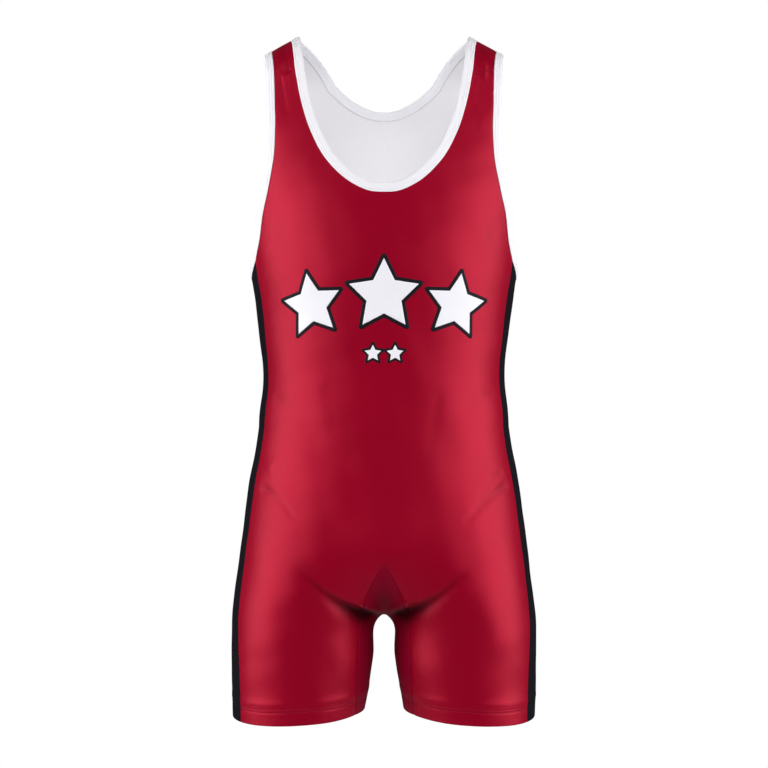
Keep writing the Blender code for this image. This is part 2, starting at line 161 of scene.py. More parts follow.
# Creases run between two points as seen from the front. `bow` moves a crease's middle upwards, `width` is
# half its width at each end, and `depth` is how far its floor lies under the smooth cloth: a ridge's is
# negative. `skew` is how much wider it is below than above. They are uneven on purpose.
Crease = namedtuple("Crease", "side x0 z0 x1 z1 bow width0 width1 depth0 depth1 skew", defaults=(0.0,))
CREASES = (
    # where each leg of the cloth turns under the body
    Crease(FRONT, 0.014, -0.69, 0.086, -0.64, -0.004, 0.011, 0.005, 0.0075, 0.0008, 0.45),
    Crease(FRONT, -0.014, -0.69, -0.085, -0.641, -0.004, 0.011, 0.005, 0.0075, 0.0008, 0.45),
    Crease(FRONT, 0.078, -0.646, 0.125, -0.606, 0, 0.01, 0.018, 0.001, 0.0003),
    Crease(FRONT, -0.076, -0.648, -0.12, -0.61, 0, 0.01, 0.018, 0.001, 0.0003),
    # the two edges of the gusset's point, which stand out a little
    Crease(FRONT, 0.015, -0.632, 0.031, -0.666, 0, 0.007, 0.009, -0.001, -0.0034),
    Crease(FRONT, -0.012, -0.632, -0.032, -0.668, 0, 0.007, 0.01, -0.001, -0.003),
    Crease(FRONT, 0.002, -0.63, 0, -0.676, 0, 0.009, 0.013, 0.0006, 0.0022),
    # pulled cloth from the hips
    Crease(FRONT, -0.14, -0.538, -0.108, -0.566, 0.003, 0.005, 0.0035, 0.0016, 0.0007),
    Crease(FRONT, 0.14, -0.536, 0.098, -0.572, 0.003, 0.005, 0.0045, 0.0018, 0.0007),
    Crease(FRONT, 0.136, -0.52, 0.112, -0.548, 0.002, 0.004, 0.003, 0.001, 0.0004),
    Crease(FRONT, -0.134, -0.516, -0.12, -0.5, 0.002, 0.006, 0.004, -0.0008, -0.0003),
    # dimples at the chest, below the straps' outer edges
    Crease(FRONT, -0.124, -0.236, -0.098, -0.212, 0.002, 0.009, 0.015, 0.0008, 0.0001),
    Crease(FRONT, 0.126, -0.238, 0.096, -0.208, 0.002, 0.009, 0.015, 0.0009, 0.0001),
    Crease(FRONT, 0.126, -0.246, 0.086, -0.276, 0, 0.01, 0.019, 0.0007, 0.0001),
    Crease(FRONT, -0.126, -0.25, -0.09, -0.274, 0, 0.01, 0.019, 0.0005, 0.0001),
    # long soft folds down the straps
    Crease(FRONT, -0.1185, -0.012, -0.1165, -0.044, 0, 0.006, 0.005, 0.0012, 0.0012),
    Crease(FRONT, -0.114, -0.034, -0.112, -0.046, 0, 0.0022, 0.003, 0.001, 0.0006),
    Crease(FRONT, -0.123, -0.048, -0.116, -0.092, 0, 0.0026, 0.004, 0.0009, 0.0005),
    Crease(FRONT, -0.109, -0.052, -0.107, -0.1, 0, 0.004, 0.005, -0.0005, -0.0003),
    Crease(FRONT, 0.116, -0.014, 0.115, -0.048, 0, 0.006, 0.005, 0.0011, 0.001),
    Crease(FRONT, 0.12, -0.04, 0.117, -0.078, 0, 0.0026, 0.004, 0.0009, 0.0004),
    Crease(FRONT, 0.112, -0.066, 0.108, -0.112, 0, 0.003, 0.0045, 0.0007, 0.0003),
    # the waist, where the cloth is slack
    Crease(FRONT, 0.062, -0.43, 0.052, -0.492, 0, 0.006, 0.006, 0.0004, 0.0002),
    Crease(FRONT, -0.066, -0.42, -0.058, -0.47, 0, 0.008, 0.008, 0.0004, 0.0002),
    Crease(FRONT, 0.125, -0.425, 0.08, -0.455, 0.002, 0.007, 0.012, 0.0008, 0.0002),
    Crease(FRONT, -0.126, -0.432, -0.086, -0.458, 0.002, 0.007, 0.012, 0.0008, 0.0002),
    # the back
    Crease(BACK, 0.014, -0.69, 0.11, -0.668, -0.006, 0.007, 0.004, 0.005, 0.0008, 0.2),
    Crease(BACK, -0.014, -0.69, -0.106, -0.67, -0.006, 0.007, 0.004, 0.005, 0.0008, 0.2),
    Crease(BACK, 0.11, -0.395, 0.04, -0.42, -0.004, 0.007, 0.011, 0.0016, 0.0004),
    Crease(BACK, -0.112, -0.402, -0.034, -0.426, -0.004, 0.007, 0.011, 0.0016, 0.0004),
    Crease(BACK, 0.095, -0.43, 0.02, -0.45, -0.003, 0.006, 0.009, 0.0011, 0.0003),
    Crease(BACK, -0.098, -0.44, -0.03, -0.458, -0.003, 0.006, 0.009, 0.0011, 0.0003),
    Crease(BACK, 0.124, -0.215, 0.09, -0.19, 0.002, 0.007, 0.01, 0.0014, 0.0003),
    Crease(BACK, -0.124, -0.212, -0.088, -0.184, 0.002, 0.007, 0.01, 0.0014, 0.0003),
    Crease(BACK, 0, -0.52, 0, -0.64, 0, 0.008, 0.01, 0.001, 0.0016),
)
CREASE_END = 0.18  # the share of a crease's length over which it dies away
FACING_SLOPE = 1.6  # how soon creases die away as the cloth turns to the side
CENTRE_REACH = 0.006  # the halves are kept from crossing this far out from the middle
# painted shade: the cloth's colour is darkened towards folds of this depth, by this power, and in seams by
# this share
FOLD_DEPTH, FOLD_EDGE, SEAM_SHADE = 0.0055, 1.5, 0.25
FOLD_PAINTED_SHADE = 0.88  # the share of its colour that the painted shade takes away there

# Wide, shallow waves. Each one is a product of two sines, of a point's place times `first` and `second`.
SLACK = 0.00055
Wave = namedtuple("Wave", "share first first_phase second second_phase")
WAVES = (
    Wave(1.00, (38, 0, 21), 1.3, (0, -17, 31), 0.4),
    Wave(0.60, (33, 0, 71), -2.1, (57, 23, 0), 0.9),
    Wave(0.35, (118, 0, -64), 2.7, (51, 0, 96), 1.1),
)

# Folded bindings: `across` runs from the panels' edge into the opening, and `up` out from the figure.
BINDING_WIDTH = 0.0105
BINDING_LIP = 0.0006  # over the panel's edge
BINDING_TOP, BINDING_BOTTOM = 0.0022, -0.0007
BINDING_CLOTH = 0.0006
BINDING_LINES = (0.0022, 0.0050)  # stitch lines
BINDING_DIP, BINDING_DIP_WIDTH = 0.00042, 0.00055
LIP_DIP, LIP_DIP_WIDTH = 0.00045, 0.0005
BINDING_PUFF = 0.00022
STITCHED_WIDTH, STITCHED_STEPS = 0.0068, 20  # the part with the stitch lines, and its steps
PLAIN_MIDDLE = 0.0077  # the one point between that part and the fold
FOLD_STEPS = 8
BINDING_STEP = 0.0023  # along the edge
OUT_REACH, INWARD_REACH = 2, 5  # steps each way that its directions are the mean of
Pucker = namedtuple("Pucker", "height turn phase")
PUCKERS = (Pucker(0.00003, 2.1, 0), Pucker(0.00006, 0.83, 1), Pucker(0.00005, 0.37, 0))
PUCKER_ACROSS = 1.5  # how much more it puckers across than up
NECK_OPENING = np.array((0, 0, -0.04))
ARM_OPENING = np.array((0.21, 0, -0.14))

STITCH_PITCH, STITCH_LENGTH, STITCH_RADIUS = 0.0028, 0.0021, 0.00022
# rings, as shares of the length and of the radius
STITCH_SHAPE = np.array(((-0.5, 0), (-0.3, 0.8), (0, 1), (0.3, 0.8), (0.5, 0)))
STITCH_SIDES = 6
STITCH_REACH = 0.0005  # each way along the seam, for a stitch's direction
THREAD_LIFT = 0.00012
NO_SEAM_RUNS = (0.31, 0.53, 0.79)  # a direction along which no seam runs
MERGE_DISTANCE = 1e-6

# The print on the chest is an arch of stars over two small ones. `radius` is of the white star, and `outline`
# is the width of the black round it.
Star = namedtuple("Star", "x z radius turn outline")
STARS = (
    Star(-0.0835, -0.3225, 0.0370, 9, 0.0040),
    Star(0.0000, -0.3115, 0.0420, 0, 0.0042),
    Star(0.0835, -0.3225, 0.0370, -9, 0.0040),
    Star(-0.0128, -0.3785, 0.0100, 0, 0.0026),
    Star(0.0128, -0.3785, 0.0100, 0, 0.0026),
)
STAR_WAIST = 0.50  # inner radius as a share of the outer
CHEST_REACH, CHEST_STEPS = 0.148, 240  # half the width that prints can lie on, and steps across it
STAR_DIRECTIONS, STAR_RINGS = 120, 14
TIP_GROWTH = 1.4  # how much further than its sides the outline's tips stand out
PRINT_RISE, PRINT_THICKNESS = 0.00012, 0.0002


def smooth_table(rows, at, column, key="z"):
    """A table's column at any value of its key, on a smooth curve through its rows."""
    rows = sorted(rows, key=lambda row: getattr(row, key))
    x = np.array([getattr(row, key) for row in rows])
    y = np.array([getattr(row, column) for row in rows])
    at = np.clip(at, x[0], x[-1])
    slope = np.gradient(y, x)
    before = np.clip(np.searchsorted(x, at) - 1, 0, len(x) - 2)
    step = x[before + 1] - x[before]
    t = (at - x[before]) / step
    return (
        (1 + 2 * t) * (1 - t) ** 2 * y[before]
        + t * (1 - t) ** 2 * step * slope[before]
        + t * t * (3 - 2 * t) * y[before + 1]
        + t * t * (t - 1) * step * slope[before + 1]
    )


def section(z, column):
    return smooth_table(SECTIONS, z, column)


def lobe_centre(z):
    return (section(z, "half_width") + section(z, "inner")) / 2


def lobe_reach(z):
    return (section(z, "half_width") - section(z, "inner")) / 2


def smooth_union(a, b, width):
    overlap = np.maximum(width - np.abs(a - b), 0) / np.maximum(width, TINY)
    return np.minimum(a, b) - overlap**2 * width / 4


def round_intersection(a, b, radius):
    return np.minimum(-radius, np.maximum(a, b)) + np.hypot(
        np.maximum(radius + a, 0), np.maximum(radius + b, 0)
    )


def figure(points):
    """How far each point is outside the general figure that fills the garment; negative inside it."""
    x, y, z = np.abs(points[..., 0]), points[..., 1], points[..., 2]
    centre, reach, square = lobe_centre(z), lobe_reach(z), section(z, "square")
    front, back = section(z, "front"), section(z, "back")
    depth = np.where(y < 0, front, back)

    def lobe(side):
        ratio = (np.abs(side * x - centre) / reach) ** square + (np.abs(y) / depth) ** square
        return (ratio ** (1 / square) - 1) * (front + back) / 2

    body = smooth_union(lobe(1), lobe(-1), section(z, "blend"))
    along_x, along_y, along_z = PELVIS_RADII
    to_pelvis = np.sqrt(
        (x / along_x) ** 2 + (y / along_y) ** 2 + ((z - CROTCH_Z - along_z) / along_z) ** 2
    )
    body = smooth_union(body, (to_pelvis - 1) * min(PELVIS_RADII), PELVIS_BLEND)
    roof = (z + math.tan(SHOULDER_SLOPE) * (x - STRAP_MIDDLE_X)) * math.cos(SHOULDER_SLOPE)
    return round_intersection(body, roof, SHOULDER_RADIUS)


def unit(directions):
    return directions / np.linalg.norm(directions, axis=-1, keepdims=True)


def normals(points):
    """The figure's outward direction at each point."""
    steps = NORMAL_STEP * np.eye(3)
    slope = np.stack([figure(points + step) - figure(points - step) for step in steps], axis=-1)
    return unit(slope)


def cast(origin, towards):
    """Where rays from inside the figure first leave it."""
    towards = unit(towards)

    def outside(distance):
        return figure(origin + distance[..., None] * towards) > 0

    near = np.zeros(np.broadcast_shapes(origin.shape, towards.shape)[:-1])
    for _ in range(STRIDES):
        near = np.where(outside(near + STRIDE), near, near + STRIDE)
    far = near + STRIDE
    for _ in range(HALVINGS):
        middle = (near + far) / 2
        out = outside(middle)
        near, far = np.where(out, near, middle), np.where(out, middle, far)
    return origin + near[..., None] * towards


def points_of(x, y, z):
    return np.stack(np.broadcast_arrays(x, y, z), axis=-1).astype(float)


def straight_out(x, z, facing):
    """The figure's point straight in front of, or behind, a point of the side seams' plane."""
    return cast(points_of(x, 0, z), np.array((0, facing, 0)))


def side_point(y, z):
    return cast(points_of(lobe_centre(z), y, z), np.array((1, 0, 0)))


def side_seam(z, facing):
    return side_point(facing * section(z, "side"), z)


def spread(start, end, count):
    return np.linspace(start, end, count + 1)


def leg_heights(start, hem):
    """Rows from the thigh to the hem, closer together on the turned-up part and round its edge."""
    fold_start = hem + HEM_CLOTH / 2
    fold = fold_start - HEM_CLOTH / 2 * np.sin(spread(0, math.pi / 2, FOLD_ROWS))
    zone = spread(hem + HEM_ZONE, fold_start, HEM_ROWS)
    return np.concatenate((spread(start, hem + HEM_ZONE, LEG_ROWS), zone[1:], fold[1:]))


def columns_across(start, end, count):
    """Shares of the way from edge to edge: short steps beside both edges, and even ones between them."""
    width = np.linalg.norm(end - start, axis=-1, keepdims=True)
    most = EDGE_SHARE * EDGE_STEPS / EDGE_STEPS[-1]
    steps = np.clip(EDGE_STEPS / np.maximum(width, LEAST_WIDTH), 0, most)
    even = np.linspace(steps[:, -1], 1 - steps[:, -1], count + 1 - 2 * len(EDGE_STEPS), axis=1)
    ends = np.zeros((len(steps), 1))
    return np.concatenate((ends, steps[:, :-1], even, 1 - steps[:, -2::-1], ends + 1), axis=1)


def neckline(facing):
    share = spread(0, 1, NECK_ROWS[facing])
    x, z = (smooth_table(NECK_EDGES, share, f"{SIDE_NAMES[facing]}_{axis}", "share") for axis in "xz")
    return straight_out(x, z, facing)


def armhole(facing):
    z = spread(SHOULDER_SEAM_Z, UNDERARM_Z, ARMHOLE_ROWS)
    corner = side_seam(z[-1:], facing)[0]
    edges = ARMHOLE_EDGES + (ArmholeEdge(UNDERARM_Z, corner[0], corner[0]),)
    edge = straight_out(smooth_table(edges, z, f"{SIDE_NAMES[facing]}_x"), z, facing)
    edge[-1] = corner
    return edge


def gusset_seam(facing):
    z = leg_heights(GUSSET_POINT_Z, HEM_INNER_Z)
    return straight_out(smooth_table(GUSSET_EDGES, z, "x"), z, facing)


def body_grid(facing, columns):
    """Half of the front, or of the back, from the shoulder seam's height down to the hem."""
    inner_edge = neckline(facing)
    centre_rows = ARMHOLE_ROWS + SIDE_ROWS - NECK_ROWS[facing]
    centre = straight_out(0, spread(inner_edge[-1, 2], GUSSET_POINT_Z, centre_rows), facing)
    side = side_seam(spread(UNDERARM_Z, THIGH_Z, SIDE_ROWS), facing)
    thigh = side_seam(leg_heights(THIGH_Z, HEM_Z), facing)
    inner = np.concatenate((inner_edge, centre[1:], gusset_seam(facing)[1:]))
    outer = np.concatenate((armhole(facing), side[1:], thigh[1:]))

    def angle(edge):
        share = (edge[:, 0] - lobe_centre(edge[:, 2])) / lobe_reach(edge[:, 2])
        return np.arcsin(np.clip(share, -1, 1))[:, None]

    share = columns_across(inner, outer, columns)
    turn = angle(inner) + (angle(outer) - angle(inner)) * share
    z = outer[:, 2:] + (inner[:, 2:] - outer[:, 2:]) * (1 - share) ** ROW_SAG
    grid = straight_out(lobe_centre(z) + lobe_reach(z) * np.sin(turn), z, facing)
    grid[:, 0], grid[:, -1] = inner, outer
    return grid


def strap_grid(columns):
    """A strap from the shoulder seam, over the shoulder, to the same height on the back."""
    share = spread(0, 1, STRAP_ROWS)[:, None]
    neck_x = smooth_table(CROSSINGS, share, "neck_x", "share")
    armhole_x = smooth_table(CROSSINGS, share, "armhole_x", "share")
    edges = (points_of(x[:, 0], 0, 0) for x in (neck_x, armhole_x))
    x = neck_x + (armhole_x - neck_x) * columns_across(*edges, columns)
    turn = math.pi * share
    return cast(points_of(x, 0, SHOULDER_SEAM_Z), points_of(0, -np.cos(turn), np.sin(turn)))


def with_edge_rows(grid):
    """A grid with more rows close to its first one."""
    step = np.linalg.norm(grid[1] - grid[0], axis=-1).mean()
    shares = (EDGE_STEPS[:EDGE_ROWS] / step)[:, None, None]
    return np.concatenate((grid[:1], grid[0] + (grid[1] - grid[0]) * shares, grid[1:]))


def back_grid(columns):
    return with_edge_rows(np.concatenate((strap_grid(columns)[:-1], body_grid(BACK, columns))))


def side_grid(columns):
    """The panel between the side seams, from the armhole to the hem."""
    seam_z = np.append(spread(UNDERARM_Z, THIGH_Z, SIDE_ROWS), leg_heights(THIGH_Z, HEM_Z)[1:])[:, None]
    front, back = (side_seam(seam_z[:, 0], facing) for facing in (FRONT, BACK))
    across = 2 * columns_across(front, back, columns) - 1
    straight_from = (UNDERARM_Z + THIGH_Z) / 2
    drop = np.clip((seam_z - straight_from) / (UNDERARM_Z - straight_from), 0, 1)
    z = seam_z - UNDERARM_DROP * drop * (1 - across**2)
    return side_point(across * section(z, "side"), z)


def gusset_grid(columns):
    """Half of the strip under the crotch and down the inside of a leg, in rows from front to back."""
    front, back = gusset_seam(FRONT), gusset_seam(BACK)
    z = leg_heights(GUSSET_POINT_Z, HEM_INNER_Z)
    share = ((z - z[0]) / (z[-1] - z[0]))[:, None]
    start, end = np.array((0, 0, CROTCH_Z)), np.array((section(z[-1], "inner"), 0, z[-1]))
    level_turn = np.array((end[0] / 2, 0, CROTCH_Z))
    middle = start * (1 - share) ** 2 + level_turn * 2 * share * (1 - share) + end * share**2
    across = columns_across(front, back, columns)[..., None]
    guide = (
        (1 - across) * (1 - 2 * across) * front[:, None]
        + 4 * across * (1 - across) * middle[:, None]
        + across * (2 * across - 1) * back[:, None]
    )
    origin = points_of(lobe_centre(z) * share[:, 0], 0, z)[:, None]
    grid = cast(origin, guide - origin)
    grid[:, 0], grid[:, -1] = front, back
    return grid


def mirrored(points):
    return points * (-1, 1, 1)


# --- Creases, seams and hems ---
def ease(t):
    t = np.clip(t, 0, 1)
    return t * t * (3 - 2 * t)


def dip(distance, depth, width):
    return depth * np.exp(-((distance / width) ** 2))


def crease_depth(crease, points):
    """How far one crease presses each point in."""
    start = np.array((crease.x0, crease.z0))
    run = np.array((crease.x1, crease.z1)) - start
    length = np.hypot(*run)
    run /= length
    upwards = np.array((-run[1], run[0])) * (1 if run[0] >= 0 else -1)
    offset = points[..., (0, 2)] - start
    along = offset @ run / length
    t = np.clip(along, 0, 1)
    above = offset @ upwards - crease.bow * 4 * t * (1 - t)
    width = crease.width0 + (crease.width1 - crease.width0) * t
    width = width * np.where(above > 0, 1 - crease.skew, 1 + crease.skew)
    depth = crease.depth0 + (crease.depth1 - crease.depth0) * t
    ends = ease((along + CREASE_END) / CREASE_END) * ease((1 + CREASE_END - along) / CREASE_END)
    return ends * dip(above, depth, width)


def slackness(points):
    """The waves of cloth that isn't stretched quite evenly."""
    total = 0
    for wave in WAVES:
        first = np.sin(points @ wave.first + wave.first_phase)
        total = total + wave.share * first * np.sin(points @ wave.second + wave.second_phase)
    return SLACK * total


def pressed_in(points, out):
    """How far the creases press each point in."""
    share = {facing: ease(FACING_SLOPE * facing * out[..., 1]) for facing in (FRONT, BACK)}
    return sum(share[crease.side] * crease_depth(crease, points) for crease in CREASES)


def relief(points, out):
    """How far the cloth stands off its smooth form, from its creases and its slackness."""
    return slackness(points) - pressed_in(points, out)


def arc_lengths(grid, axis):
    """Distance along a grid from its first row or column."""
    steps = np.linalg.norm(np.diff(grid, axis=axis), axis=-1)
    start = np.zeros_like(np.take(steps, [0], axis))
    return np.concatenate((start, np.cumsum(steps, axis=axis)), axis=axis)


def hem_heights(grid):
    """Each point's distance above the hem's edge, along the cloth."""
    down = arc_lengths(grid, 0)
    return down[-1:] - down


def fold_share(height):
    """The fold at the hem's edge: 0 at its lowest point, and 1 above it, on a half circle."""
    radius = HEM_CLOTH / 2
    return np.sqrt(1 - (np.clip(radius - height, 0, radius) / radius) ** 2)


def turned_up(height):
    return ease((HEM_DEPTH + TURN_UP_EDGE - height) / (2 * TURN_UP_EDGE))


def hem_rise(height):
    return HEM_RISE * turned_up(height) + dip(height - HEM_SWELL_HEIGHT, HEM_SWELL, HEM_SWELL_WIDTH)


def lifting_directions(grid):
    """The way that the cloth stands off: square to the figure, and never across the middle of the garment."""
    out = normals(grid)
    out[..., 0] *= ease(np.abs(grid[..., 0]) / CENTRE_REACH)
    return out


def fold_shade(grid, seam_distance):
    """How much painted shade darkens each point's colour, from 0 to 1: more the deeper it lies in a fold, and
    some in a seam.
    """
    fold = np.clip(pressed_in(grid, normals(grid)) / FOLD_DEPTH, 0, 1) ** FOLD_EDGE
    return np.clip(fold + dip(seam_distance, SEAM_SHADE, SEAM_DIP_WIDTH), 0, 1)


def cloth_layer(grid, seam_distance):
    """The outer face of a panel and its thickness: its form, moved out by the cloth and its relief."""
    out = lifting_directions(grid)
    height = hem_heights(grid)
    lift = WALL + relief(grid, out) + hem_rise(height)
    lift = lift - sum(dip(height - line, NEEDLE_DIP, NEEDLE_DIP_WIDTH) for line in NEEDLE_LINES)
    lift = lift - dip(seam_distance, SEAM_DIP, SEAM_DIP_WIDTH) - HEM_CLOTH / 2 * (1 - fold_share(height))
    thickness = CLOTH + (HEM_CLOTH - CLOTH) * turned_up(height)
    return grid + lift[..., None] * out, thickness * np.maximum(fold_share(height), LEAST_HEM_SHARE)


def seam_distances(grid, *edges):
    """Each point's distance from the nearest of some of a grid's edges."""
    across = arc_lengths(grid, 1)
    uncut = np.abs(grid[:, :1, 0]) < TINY  # where both halves are one piece of cloth
    first = np.where(uncut, np.inf, across)
    flat_seam = np.hypot(SEAM_DIP_WIDTH, arc_lengths(grid, 0))  # across the shoulder, pulled tight
    distances = {"top": flat_seam, "first": first, "last": across[:, -1:] - across}
    return np.minimum.reduce([distances[edge] for edge in edges])


# --- Meshes ---
def quads(index):
    """Faces of a grid of vertex numbers."""
    corners = (index[:-1, :-1], index[:-1, 1:], index[1:, 1:], index[1:, :-1])
    return np.stack(corners, axis=-1).reshape(-1, 4)


def add_object(name, data):
    added = bpy.data.objects.new(name, data)
    bpy.context.scene.collection.objects.link(added)
    return added


def add_piece(name, points, faces, materials, cloth=None, shade=None):
    """A mesh that rides on the part.

    `cloth` gives each point's place across and along the cloth, for its knit, and `shade` how much painted
    shade darkens its colour, from how deep in a fold or how near a seam it lies.
    """
    mesh = bpy.data.meshes.new(name)
    mesh.from_pydata(points.tolist(), [], faces)
    for material in materials:
        mesh.materials.append(material)
    if cloth is not None:
        # the attribute's third value is the painted shade of folds and seams
        place = np.column_stack((cloth, np.zeros(len(cloth)) if shade is None else shade))
        layer = mesh.attributes.new("cloth", "FLOAT_VECTOR", "POINT")
        layer.data.foreach_set("vector", place.astype(np.float32).reshape(-1))
    mesh.shade_smooth()
    piece = add_object(name, mesh)
    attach(piece, "root")
    return piece


def face_outwards(mesh):
    """Turns the whole mesh the way that one of its faces should look."""
    face = mesh.polygons[len(mesh.polygons) // 3]
    if np.dot(face.normal, normals(np.array(face.center))) < 0:
        mesh.flip_normals()


def clean_up(mesh):
    """Joins points that lie together, and turns faces the same way as their neighbours."""
    shape = bmesh.new()
    shape.from_mesh(mesh)
    bmesh.ops.remove_doubles(shape, verts=shape.verts, dist=MERGE_DISTANCE)
    bmesh.ops.recalc_face_normals(shape, faces=shape.faces)
    shape.to_mesh(mesh)
    shape.free()
    mesh.shade_smooth()


def add_wall(piece, thickness):
    """Gives a piece its thickness, inwards."""
    wall = piece.modifiers.new("wall", "SOLIDIFY")
    wall.thickness = thickness
    wall.offset = -1
    return wall


def halves(spec):
    """A panel's grid, and its mirrored half where both are one piece of cloth."""
    return [spec.grid, mirrored(spec.grid)] if spec.mirror else [spec.grid]


def panel(node, spec, lining):
    """A panel of cloth with its true thickness."""
    grids = halves(spec)
    distances = [seam_distances(half, *spec.seams) for half in grids]
    layers = [cloth_layer(half, distance) for half, distance in zip(grids, distances)]
    # painted shade of folds and seams at each point, which darkens the cloth's colour
    shades = [fold_shade(half, distance).reshape(-1) for half, distance in zip(grids, distances)]
    rows, columns = spec.grid.shape[:2]
    index = np.arange(len(grids) * rows * columns).reshape(-1, rows, columns)
    if spec.mirror:
        shared = np.abs(spec.grid[..., 0]) < TINY
        index[1][shared] = index[0][shared]
    used, renumbered = np.unique(index, return_inverse=True)
    index = renumbered.reshape(index.shape)
    faces = [quads(half) for half in index]
    if spec.mirror:
        faces[1] = faces[1][:, ::-1]

    across = np.abs(spec.grid[:, :1, 0]) + arc_lengths(spec.grid, 1)
    along = arc_lengths(spec.grid, 0)
    signs = (1, -1)[: len(grids)]
    place = np.concatenate([np.stack((sign * across, along), axis=-1).reshape(-1, 2) for sign in signs])[used]
    points = np.concatenate([layer.reshape(-1, 3) for layer, _ in layers])[used]
    shade = np.concatenate(shades)[used]
    materials = (spec.outside, lining, spec.outside, spec.outside)
    piece = add_piece(f"cloth_{node}", points, np.concatenate(faces).tolist(), materials, place, shade)

    # The turned-up part shows the outside of the cloth on both its faces: materials 2 and 3.
    turned = np.concatenate([hem_heights(half)[:-1, :-1].reshape(-1) < HEM_DEPTH for half in grids])
    piece.data.polygons.foreach_set("material_index", np.where(turned, 2, 0).astype(np.int32))
    face_outwards(piece.data)

    group = piece.vertex_groups.new(name="thickness")
    thickness = np.concatenate([thick.reshape(-1) for _, thick in layers])[used]
    shares = (thickness / HEM_CLOTH).round(3)
    for share in np.unique(shares):
        group.add(np.flatnonzero(shares == share).tolist(), share, "REPLACE")
    wall = add_wall(piece, HEM_CLOTH)
    wall.vertex_group = group.name
    wall.material_offset = 1
    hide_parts(node)
    return piece


def lengths_along(line):
    """Each point's distance along a line from its first."""
    return np.append(0, np.cumsum(np.linalg.norm(np.diff(line, axis=0), axis=1)))


def points_along(line, at):
    """The points at some distances along a line."""
    distance = lengths_along(line)
    return np.stack([np.interp(at, distance, line[:, axis]) for axis in range(3)], axis=1)


def even_loop(edge, step):
    """A closed line's points, moved along it to even steps."""
    closed = np.concatenate((edge, edge[:1]))
    length = lengths_along(closed)[-1]
    return points_along(closed, np.linspace(0, length, round(length / step), endpoint=False))


def rounded_directions(directions, reach):
    """Directions along a closed line, each taken as the mean of its neighbours'."""
    return unit(sum(np.roll(directions, shift, axis=0) for shift in range(-reach, reach + 1)))


def binding_profile():
    """Across and up for a folded strip's outer face: from one lip, round the fold, to the other."""
    middle, radius = (BINDING_TOP + BINDING_BOTTOM) / 2, (BINDING_TOP - BINDING_BOTTOM) / 2
    flat = BINDING_WIDTH - radius
    across = np.concatenate((spread(-BINDING_LIP, STITCHED_WIDTH, STITCHED_STEPS), (PLAIN_MIDDLE, flat)))
    puff = BINDING_PUFF * np.sin(np.clip(across / flat, 0, 1) * math.pi)
    up = radius + puff - dip(across + BINDING_LIP, LIP_DIP, LIP_DIP_WIDTH)
    up = up - sum(dip(across - line, BINDING_DIP, BINDING_DIP_WIDTH) for line in BINDING_LINES)
    turn = spread(math.pi / 2, -math.pi / 2, FOLD_STEPS)[1:-1]
    fold = np.stack((flat + radius * np.cos(turn), radius * np.sin(turn)), axis=1)
    outer = np.stack((across, up), axis=1)
    inner = outer[::-2] * (1, -1)
    return np.concatenate((outer, fold, inner)) + (0, middle)


def rings_round(origin, across, out, offsets):
    """At each point of a closed line, points at some offsets across it and out from it."""
    return origin[:, None] + offsets[:, :1] * across[:, None] + offsets[:, 1:] * out[:, None]


def binding(node, edge, opening, cloth, thread):
    """A strip folded over a closed edge of the cloth, and its thread. `opening` is a point in the hole."""
    edge = even_loop(edge, BINDING_STEP)
    out = rounded_directions(normals(edge), OUT_REACH)
    inwards = np.cross(np.roll(edge, -1, axis=0) - np.roll(edge, 1, axis=0), out)
    inwards *= np.sign(np.sum(inwards * (opening - edge), axis=1, keepdims=True))
    inwards = rounded_directions(unit(inwards), INWARD_REACH)
    origin = edge + relief(edge, out)[:, None] * out

    profile = binding_profile()
    count = np.arange(len(edge))[:, None]
    pucker = sum(wave.height * np.sin(count * wave.turn + wave.phase) for wave in PUCKERS)
    free = ease(profile[:, 0] / BINDING_WIDTH)
    rings = rings_round(origin, inwards, out, profile)
    rings += (pucker * free)[..., None] * (inwards * PUCKER_ACROSS + out)[:, None]
    index = np.arange(rings[..., 0].size).reshape(rings.shape[:2])
    place = np.broadcast_arrays(lengths_along(profile)[None], lengths_along(edge)[:, None])
    place = np.stack(place, axis=-1).reshape(-1, 2)
    faces = quads(np.concatenate((index, index[:1]))).tolist()
    piece = add_piece(f"cloth_{node}", rings.reshape(-1, 3), faces, (cloth,), place)
    outer_face = piece.data.polygons[STITCHED_STEPS // 2]
    if np.dot(outer_face.normal, out[0]) < 0:
        piece.data.flip_normals()
    add_wall(piece, BINDING_CLOTH)
    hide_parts(node)

    groove = BINDING_TOP - STITCH_RADIUS
    faces_up = (groove, BINDING_TOP + BINDING_BOTTOM - groove)
    rows = np.array([(line, up) for up in faces_up for line in BINDING_LINES])
    seams = np.moveaxis(rings_round(origin, inwards, out, rows), 1, 0)
    stitching = stitches(f"thread_{node}", [np.concatenate((seam, seam[:1])) for seam in seams], thread)
    return piece, stitching


def stitches(name, lines, thread):
    """Short rounded lengths of thread along open lines of points."""
    turn = np.linspace(0, 2 * math.pi, STITCH_SIDES, endpoint=False)
    length, radius = STITCH_SHAPE.T * ((STITCH_LENGTH,), (STITCH_RADIUS,))
    points = []
    for line in lines:
        at = np.arange(STITCH_PITCH / 2, lengths_along(line)[-1] - STITCH_PITCH / 4, STITCH_PITCH)
        middle = points_along(line, at)
        along = unit(points_along(line, at + STITCH_REACH) - points_along(line, at - STITCH_REACH))
        side = unit(np.cross(along, NO_SEAM_RUNS))
        up = np.cross(along, side)
        rings = (
            middle[:, None, None]
            + length[:, None, None] * along[:, None, None]
            + (radius[:, None] * np.cos(turn))[..., None] * side[:, None, None]
            + (radius[:, None] * np.sin(turn))[..., None] * up[:, None, None]
        )
        points.append(rings)
    points = np.concatenate(points)
    size = len(STITCH_SHAPE) * STITCH_SIDES
    one = np.arange(size).reshape(-1, STITCH_SIDES)
    one = np.concatenate((one, one[:, :1]), axis=1)
    faces = quads(one)[None] + (np.arange(len(points)) * size)[:, None, None]
    piece = add_piece(name, points.reshape(-1, 3), faces.reshape(-1, 4).tolist(), (thread,))
    clean_up(piece.data)
    return piece


